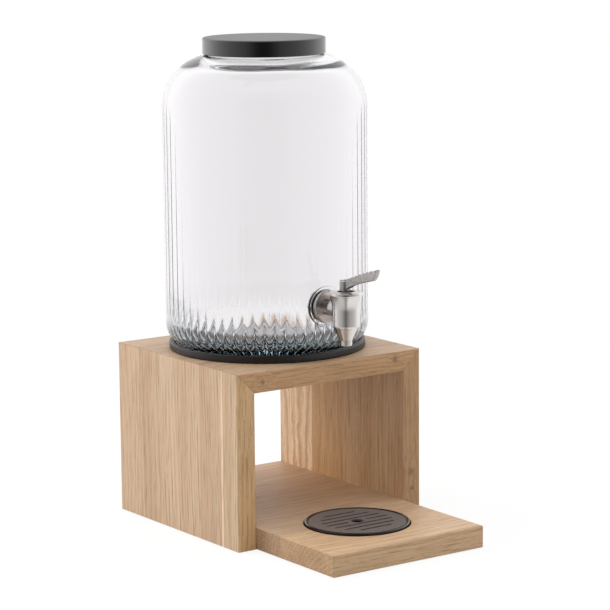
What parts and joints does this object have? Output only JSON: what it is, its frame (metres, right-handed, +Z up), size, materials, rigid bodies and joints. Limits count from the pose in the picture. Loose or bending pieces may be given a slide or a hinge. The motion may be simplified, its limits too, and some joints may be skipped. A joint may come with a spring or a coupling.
{
  "type": "countertop water dispenser",
  "caption": "Countertop water dispenser: a fluted glass jar with a black cap and a lever tap, standing in a ring on an oak stand whose forward board holds a round drip tray.",
  "frame": {"origin": "centre of the upright stand's footprint on the worktop, straight below the jar's axis", "axes": "+Z up, -Y to the front where the tap and the drip tray are, +X to the right of someone who stands behind the dispenser and looks along +Y from the front"},
  "size_m": [0.23, 0.357, 0.5057],
  "materials": {
    "oak": "pale oiled oak, satin",
    "oak_joinery": "plain hardwood",
    "black_rubber": "matte black silicone rubber",
    "clear_glass": "clear pressed glass with a faint blue-green tint",
    "black_cap": "matte black",
    "cap_liner": "translucent white plastic",
    "silicone": "translucent silicone",
    "dark_seal": "matte black rubber",
    "stainless": "brushed stainless steel",
    "spring_steel": "drawn stainless wire",
    "black_tray": "satin to glossy black",
    "dark_grate": "matte charcoal powder coat"
  },
  "bodies": {
    "stand": {"left_side_panel": "oak", "right_side_panel": "oak", "top_panel": "oak", "miter_tongues": "oak_joinery", "base_board": "oak", "base_dowels": "oak_joinery", "jar_ring": "black_rubber"},
    "jar": {"glass_jar": "clear_glass", "tap_body": "stainless", "threaded_shank": "stainless", "tap_flange": "stainless", "outer_washer": "silicone", "inner_washer": "silicone", "lock_nut": "stainless", "bonnet": "stainless", "spout_tip": "stainless", "lever_pin": "stainless", "stem_ring": "dark_seal", "valve_spring": "spring_steel"},
    "lid": {"lid": "black_cap", "lid_plug": "cap_liner", "lid_seal": "silicone"},
    "lever": {"tap_lever": "stainless"},
    "plunger": {"valve_plunger": "stainless", "valve_seal": "dark_seal"},
    "tray": {"drip_tray": "black_tray"},
    "grate": {"drip_grate": "dark_grate"}
  },
  "joints": [
    {"name": "jar_lift", "type": "slide", "parent": "stand", "child": "jar", "axis": [0, 0, 1], "range_m": [0, 0.05]},
    {"name": "lid_lift", "type": "slide", "parent": "jar", "child": "lid", "axis": [0, 0, 1], "range_m": [0, 0.04]},
    {"name": "tap_press", "type": "hinge", "parent": "jar", "child": "lever", "pos_m": [0, -0.1442, 0.2487], "axis": [1, 0, 0], "range_deg": [0, 25], "stiffness_Nm_per_rad": 0.15, "springref_deg": -20.05},
    {"name": "valve_lift", "type": "slide", "parent": "jar", "child": "plunger", "axis": [0, 0, 1], "range_m": [0, 0.0018], "deforming": ["valve_spring"]},
    {"name": "tray_lift", "type": "slide", "parent": "stand", "child": "tray", "axis": [0, 0, 1], "range_m": [0, 0.03]},
    {"name": "grate_lift", "type": "slide", "parent": "tray", "child": "grate", "axis": [0, 0, 1], "range_m": [0, 0.02]}
  ],
  "couplings": [
    {"joint": "valve_lift", "follows": "tap_press", "m_per_rad": 0.00405}
  ]
}
